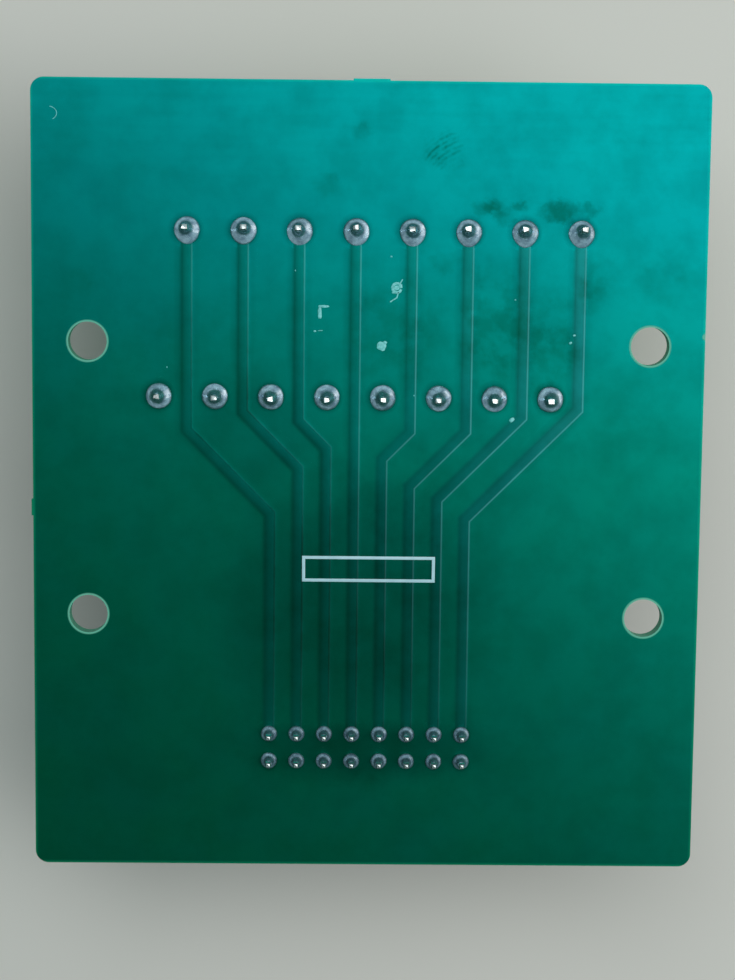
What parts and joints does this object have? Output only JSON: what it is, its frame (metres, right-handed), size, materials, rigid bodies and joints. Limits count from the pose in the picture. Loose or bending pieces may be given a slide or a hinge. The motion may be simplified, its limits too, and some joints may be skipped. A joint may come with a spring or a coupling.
{
  "type": "terminal breakout board",
  "caption": "Circuit board that breaks a ribbon cable header out to a two-level block of screw terminals, lying solder side up on the block.",
  "frame": {"origin": "centre of the four mounting holes, on the face of the solder side", "axes": "+Z out of the solder side, up as the board lies; +Y along the board's length towards the terminal block; +X across it"},
  "size_m": [0.0611, 0.0722, 0.0272],
  "materials": {
    "solder_mask_board": "glossy green solder mask over glass-fibre board, stained by flux",
    "masked_copper": "copper track under the same green mask",
    "solder": "bright tin-lead solder, wetted smooth",
    "tinned_contact": "tin-plated brass stamping",
    "nickel_plated_clamp": "nickel-plated brass cage",
    "zinc_plated_screw": "zinc-plated steel, slotted",
    "terminal_plastic": "moulded green polyamide",
    "header_plastic": "moulded black glass-filled polyester",
    "latch_plastic": "moulded black polyamide",
    "header_pin_plating": "tin-plated brass wire"
  },
  "bodies": {
    "board": {"pcb": "solder_mask_board", "solder_side_tracks": "masked_copper", "component_side_tracks": "masked_copper", "terminal_solder_joints": "solder", "header_solder_joints": "solder", "terminal_housing_1": "terminal_plastic", "terminal_housing_2": "terminal_plastic", "terminal_housing_3": "terminal_plastic", "terminal_housing_4": "terminal_plastic", "lower_contacts": "tinned_contact", "upper_contacts": "tinned_contact", "header_body": "header_plastic", "header_pins": "header_pin_plating"},
    "lower_screw_1": {"lower_screw_1": "zinc_plated_screw"},
    "lower_clamp_1": {"lower_clamp_1": "nickel_plated_clamp"},
    "lower_screw_2": {"lower_screw_2": "zinc_plated_screw"},
    "lower_clamp_2": {"lower_clamp_2": "nickel_plated_clamp"},
    "lower_screw_3": {"lower_screw_3": "zinc_plated_screw"},
    "lower_clamp_3": {"lower_clamp_3": "nickel_plated_clamp"},
    "lower_screw_4": {"lower_screw_4": "zinc_plated_screw"},
    "lower_clamp_4": {"lower_clamp_4": "nickel_plated_clamp"},
    "lower_screw_5": {"lower_screw_5": "zinc_plated_screw"},
    "lower_clamp_5": {"lower_clamp_5": "nickel_plated_clamp"},
    "lower_screw_6": {"lower_screw_6": "zinc_plated_screw"},
    "lower_clamp_6": {"lower_clamp_6": "nickel_plated_clamp"},
    "lower_screw_7": {"lower_screw_7": "zinc_plated_screw"},
    "lower_clamp_7": {"lower_clamp_7": "nickel_plated_clamp"},
    "lower_screw_8": {"lower_screw_8": "zinc_plated_screw"},
    "lower_clamp_8": {"lower_clamp_8": "nickel_plated_clamp"},
    "upper_screw_1": {"upper_screw_1": "zinc_plated_screw"},
    "upper_clamp_1": {"upper_clamp_1": "nickel_plated_clamp"},
    "upper_screw_2": {"upper_screw_2": "zinc_plated_screw"},
    "upper_clamp_2": {"upper_clamp_2": "nickel_plated_clamp"},
    "upper_screw_3": {"upper_screw_3": "zinc_plated_screw"},
    "upper_clamp_3": {"upper_clamp_3": "nickel_plated_clamp"},
    "upper_screw_4": {"upper_screw_4": "zinc_plated_screw"},
    "upper_clamp_4": {"upper_clamp_4": "nickel_plated_clamp"},
    "upper_screw_5": {"upper_screw_5": "zinc_plated_screw"},
    "upper_clamp_5": {"upper_clamp_5": "nickel_plated_clamp"},
    "upper_screw_6": {"upper_screw_6": "zinc_plated_screw"},
    "upper_clamp_6": {"upper_clamp_6": "nickel_plated_clamp"},
    "upper_screw_7": {"upper_screw_7": "zinc_plated_screw"},
    "upper_clamp_7": {"upper_clamp_7": "nickel_plated_clamp"},
    "upper_screw_8": {"upper_screw_8": "zinc_plated_screw"},
    "upper_clamp_8": {"upper_clamp_8": "nickel_plated_clamp"},
    "latch_left": {"latch_left": "latch_plastic"},
    "latch_right": {"latch_right": "latch_plastic"}
  },
  "joints": [
    {"name": "lower_clamp_1_rise", "type": "slide", "parent": "board", "child": "lower_clamp_1", "axis": [0, 0, -1], "range_m": [0, 0.0024]},
    {"name": "lower_screw_1_turn", "type": "hinge", "parent": "board", "child": "lower_screw_1", "pos_m": [0.01905, 0.0258, -0.01225], "axis": [0, 0, 1], "range_deg": [0, 1728]},
    {"name": "lower_clamp_2_rise", "type": "slide", "parent": "board", "child": "lower_clamp_2", "axis": [0, 0, -1], "range_m": [0, 0.0024]},
    {"name": "lower_screw_2_turn", "type": "hinge", "parent": "board", "child": "lower_screw_2", "pos_m": [0.01397, 0.0258, -0.01225], "axis": [0, 0, 1], "range_deg": [0, 1728]},
    {"name": "lower_clamp_3_rise", "type": "slide", "parent": "board", "child": "lower_clamp_3", "axis": [0, 0, -1], "range_m": [0, 0.0024]},
    {"name": "lower_screw_3_turn", "type": "hinge", "parent": "board", "child": "lower_screw_3", "pos_m": [0.00889, 0.0258, -0.01225], "axis": [0, 0, 1], "range_deg": [0, 1728]},
    {"name": "lower_clamp_4_rise", "type": "slide", "parent": "board", "child": "lower_clamp_4", "axis": [0, 0, -1], "range_m": [0, 0.0024]},
    {"name": "lower_screw_4_turn", "type": "hinge", "parent": "board", "child": "lower_screw_4", "pos_m": [0.00381, 0.0258, -0.01225], "axis": [0, 0, 1], "range_deg": [0, 1728]},
    {"name": "lower_clamp_5_rise", "type": "slide", "parent": "board", "child": "lower_clamp_5", "axis": [0, 0, -1], "range_m": [0, 0.0024]},
    {"name": "lower_screw_5_turn", "type": "hinge", "parent": "board", "child": "lower_screw_5", "pos_m": [-0.00127, 0.0258, -0.01225], "axis": [0, 0, 1], "range_deg": [0, 1728]},
    {"name": "lower_clamp_6_rise", "type": "slide", "parent": "board", "child": "lower_clamp_6", "axis": [0, 0, -1], "range_m": [0, 0.0024]},
    {"name": "lower_screw_6_turn", "type": "hinge", "parent": "board", "child": "lower_screw_6", "pos_m": [-0.00635, 0.0258, -0.01225], "axis": [0, 0, 1], "range_deg": [0, 1728]},
    {"name": "lower_clamp_7_rise", "type": "slide", "parent": "board", "child": "lower_clamp_7", "axis": [0, 0, -1], "range_m": [0, 0.0024]},
    {"name": "lower_screw_7_turn", "type": "hinge", "parent": "board", "child": "lower_screw_7", "pos_m": [-0.01143, 0.0258, -0.01225], "axis": [0, 0, 1], "range_deg": [0, 1728]},
    {"name": "lower_clamp_8_rise", "type": "slide", "parent": "board", "child": "lower_clamp_8", "axis": [0, 0, -1], "range_m": [0, 0.0024]},
    {"name": "lower_screw_8_turn", "type": "hinge", "parent": "board", "child": "lower_screw_8", "pos_m": [-0.01651, 0.0258, -0.01225], "axis": [0, 0, 1], "range_deg": [0, 1728]},
    {"name": "upper_clamp_1_rise", "type": "slide", "parent": "board", "child": "upper_clamp_1", "axis": [0, 0, -1], "range_m": [0, 0.0024]},
    {"name": "upper_screw_1_turn", "type": "hinge", "parent": "board", "child": "upper_screw_1", "pos_m": [0.01651, 0.0108, -0.02425], "axis": [0, 0, 1], "range_deg": [0, 1728]},
    {"name": "upper_clamp_2_rise", "type": "slide", "parent": "board", "child": "upper_clamp_2", "axis": [0, 0, -1], "range_m": [0, 0.0024]},
    {"name": "upper_screw_2_turn", "type": "hinge", "parent": "board", "child": "upper_screw_2", "pos_m": [0.01143, 0.0108, -0.02425], "axis": [0, 0, 1], "range_deg": [0, 1728]},
    {"name": "upper_clamp_3_rise", "type": "slide", "parent": "board", "child": "upper_clamp_3", "axis": [0, 0, -1], "range_m": [0, 0.0024]},
    {"name": "upper_screw_3_turn", "type": "hinge", "parent": "board", "child": "upper_screw_3", "pos_m": [0.00635, 0.0108, -0.02425], "axis": [0, 0, 1], "range_deg": [0, 1728]},
    {"name": "upper_clamp_4_rise", "type": "slide", "parent": "board", "child": "upper_clamp_4", "axis": [0, 0, -1], "range_m": [0, 0.0024]},
    {"name": "upper_screw_4_turn", "type": "hinge", "parent": "board", "child": "upper_screw_4", "pos_m": [0.00127, 0.0108, -0.02425], "axis": [0, 0, 1], "range_deg": [0, 1728]},
    {"name": "upper_clamp_5_rise", "type": "slide", "parent": "board", "child": "upper_clamp_5", "axis": [0, 0, -1], "range_m": [0, 0.0024]},
    {"name": "upper_screw_5_turn", "type": "hinge", "parent": "board", "child": "upper_screw_5", "pos_m": [-0.00381, 0.0108, -0.02425], "axis": [0, 0, 1], "range_deg": [0, 1728]},
    {"name": "upper_clamp_6_rise", "type": "slide", "parent": "board", "child": "upper_clamp_6", "axis": [0, 0, -1], "range_m": [0, 0.0024]},
    {"name": "upper_screw_6_turn", "type": "hinge", "parent": "board", "child": "upper_screw_6", "pos_m": [-0.00889, 0.0108, -0.02425], "axis": [0, 0, 1], "range_deg": [0, 1728]},
    {"name": "upper_clamp_7_rise", "type": "slide", "parent": "board", "child": "upper_clamp_7", "axis": [0, 0, -1], "range_m": [0, 0.0024]},
    {"name": "upper_screw_7_turn", "type": "hinge", "parent": "board", "child": "upper_screw_7", "pos_m": [-0.01397, 0.0108, -0.02425], "axis": [0, 0, 1], "range_deg": [0, 1728]},
    {"name": "upper_clamp_8_rise", "type": "slide", "parent": "board", "child": "upper_clamp_8", "axis": [0, 0, -1], "range_m": [0, 0.0024]},
    {"name": "upper_screw_8_turn", "type": "hinge", "parent": "board", "child": "upper_screw_8", "pos_m": [-0.01905, 0.0108, -0.02425], "axis": [0, 0, 1], "range_deg": [0, 1728]},
    {"name": "latch_left_swing", "type": "hinge", "parent": "board", "child": "latch_left", "pos_m": [-0.0146, -0.02487, -0.00505], "axis": [0, 1, 0], "range_deg": [0, 55]},
    {"name": "latch_right_swing", "type": "hinge", "parent": "board", "child": "latch_right", "pos_m": [0.0146, -0.02487, -0.00505], "axis": [0, -1, 0], "range_deg": [0, 55]}
  ],
  "couplings": [
    {"joint": "lower_screw_1_turn", "follows": "lower_clamp_1_rise", "rad_per_m": 12566},
    {"joint": "lower_screw_2_turn", "follows": "lower_clamp_2_rise", "rad_per_m": 12566},
    {"joint": "lower_screw_3_turn", "follows": "lower_clamp_3_rise", "rad_per_m": 12566},
    {"joint": "lower_screw_4_turn", "follows": "lower_clamp_4_rise", "rad_per_m": 12566},
    {"joint": "lower_screw_5_turn", "follows": "lower_clamp_5_rise", "rad_per_m": 12566},
    {"joint": "lower_screw_6_turn", "follows": "lower_clamp_6_rise", "rad_per_m": 12566},
    {"joint": "lower_screw_7_turn", "follows": "lower_clamp_7_rise", "rad_per_m": 12566},
    {"joint": "lower_screw_8_turn", "follows": "lower_clamp_8_rise", "rad_per_m": 12566},
    {"joint": "upper_screw_1_turn", "follows": "upper_clamp_1_rise", "rad_per_m": 12566},
    {"joint": "upper_screw_2_turn", "follows": "upper_clamp_2_rise", "rad_per_m": 12566},
    {"joint": "upper_screw_3_turn", "follows": "upper_clamp_3_rise", "rad_per_m": 12566},
    {"joint": "upper_screw_4_turn", "follows": "upper_clamp_4_rise", "rad_per_m": 12566},
    {"joint": "upper_screw_5_turn", "follows": "upper_clamp_5_rise", "rad_per_m": 12566},
    {"joint": "upper_screw_6_turn", "follows": "upper_clamp_6_rise", "rad_per_m": 12566},
    {"joint": "upper_screw_7_turn", "follows": "upper_clamp_7_rise", "rad_per_m": 12566},
    {"joint": "upper_screw_8_turn", "follows": "upper_clamp_8_rise", "rad_per_m": 12566}
  ]
}
